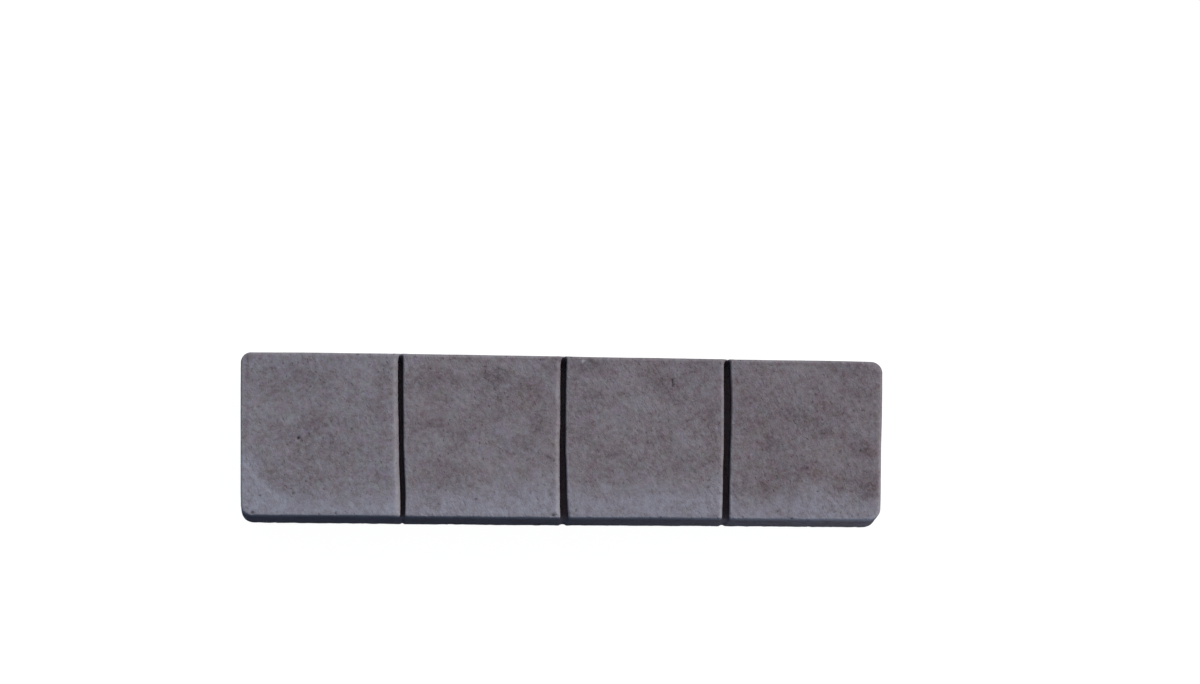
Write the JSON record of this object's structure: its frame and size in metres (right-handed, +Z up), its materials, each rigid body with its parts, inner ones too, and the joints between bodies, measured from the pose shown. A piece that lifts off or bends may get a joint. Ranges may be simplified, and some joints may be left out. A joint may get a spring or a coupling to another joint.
{
  "type": "cobblestone border paver",
  "caption": "Cast concrete border strip whose face is divided by narrow joint grooves into a row of square cobbles, with rounded arrises and a flat bed.",
  "frame": {"origin": "centre of the bed face, which is the bottom centre of the bounding box", "axes": "+X along the row of cobbles, +Y across it to the back wall, +Z up out of the cobbled face"},
  "size_m": [0.4, 0.1026, 0.05],
  "materials": {
    "cast_concrete": "matte, fine-grained cast surface with small pin holes"
  },
  "bodies": {
    "root": {"cobblestone_border_paver": "cast_concrete"}
  },
  "joints": []
}
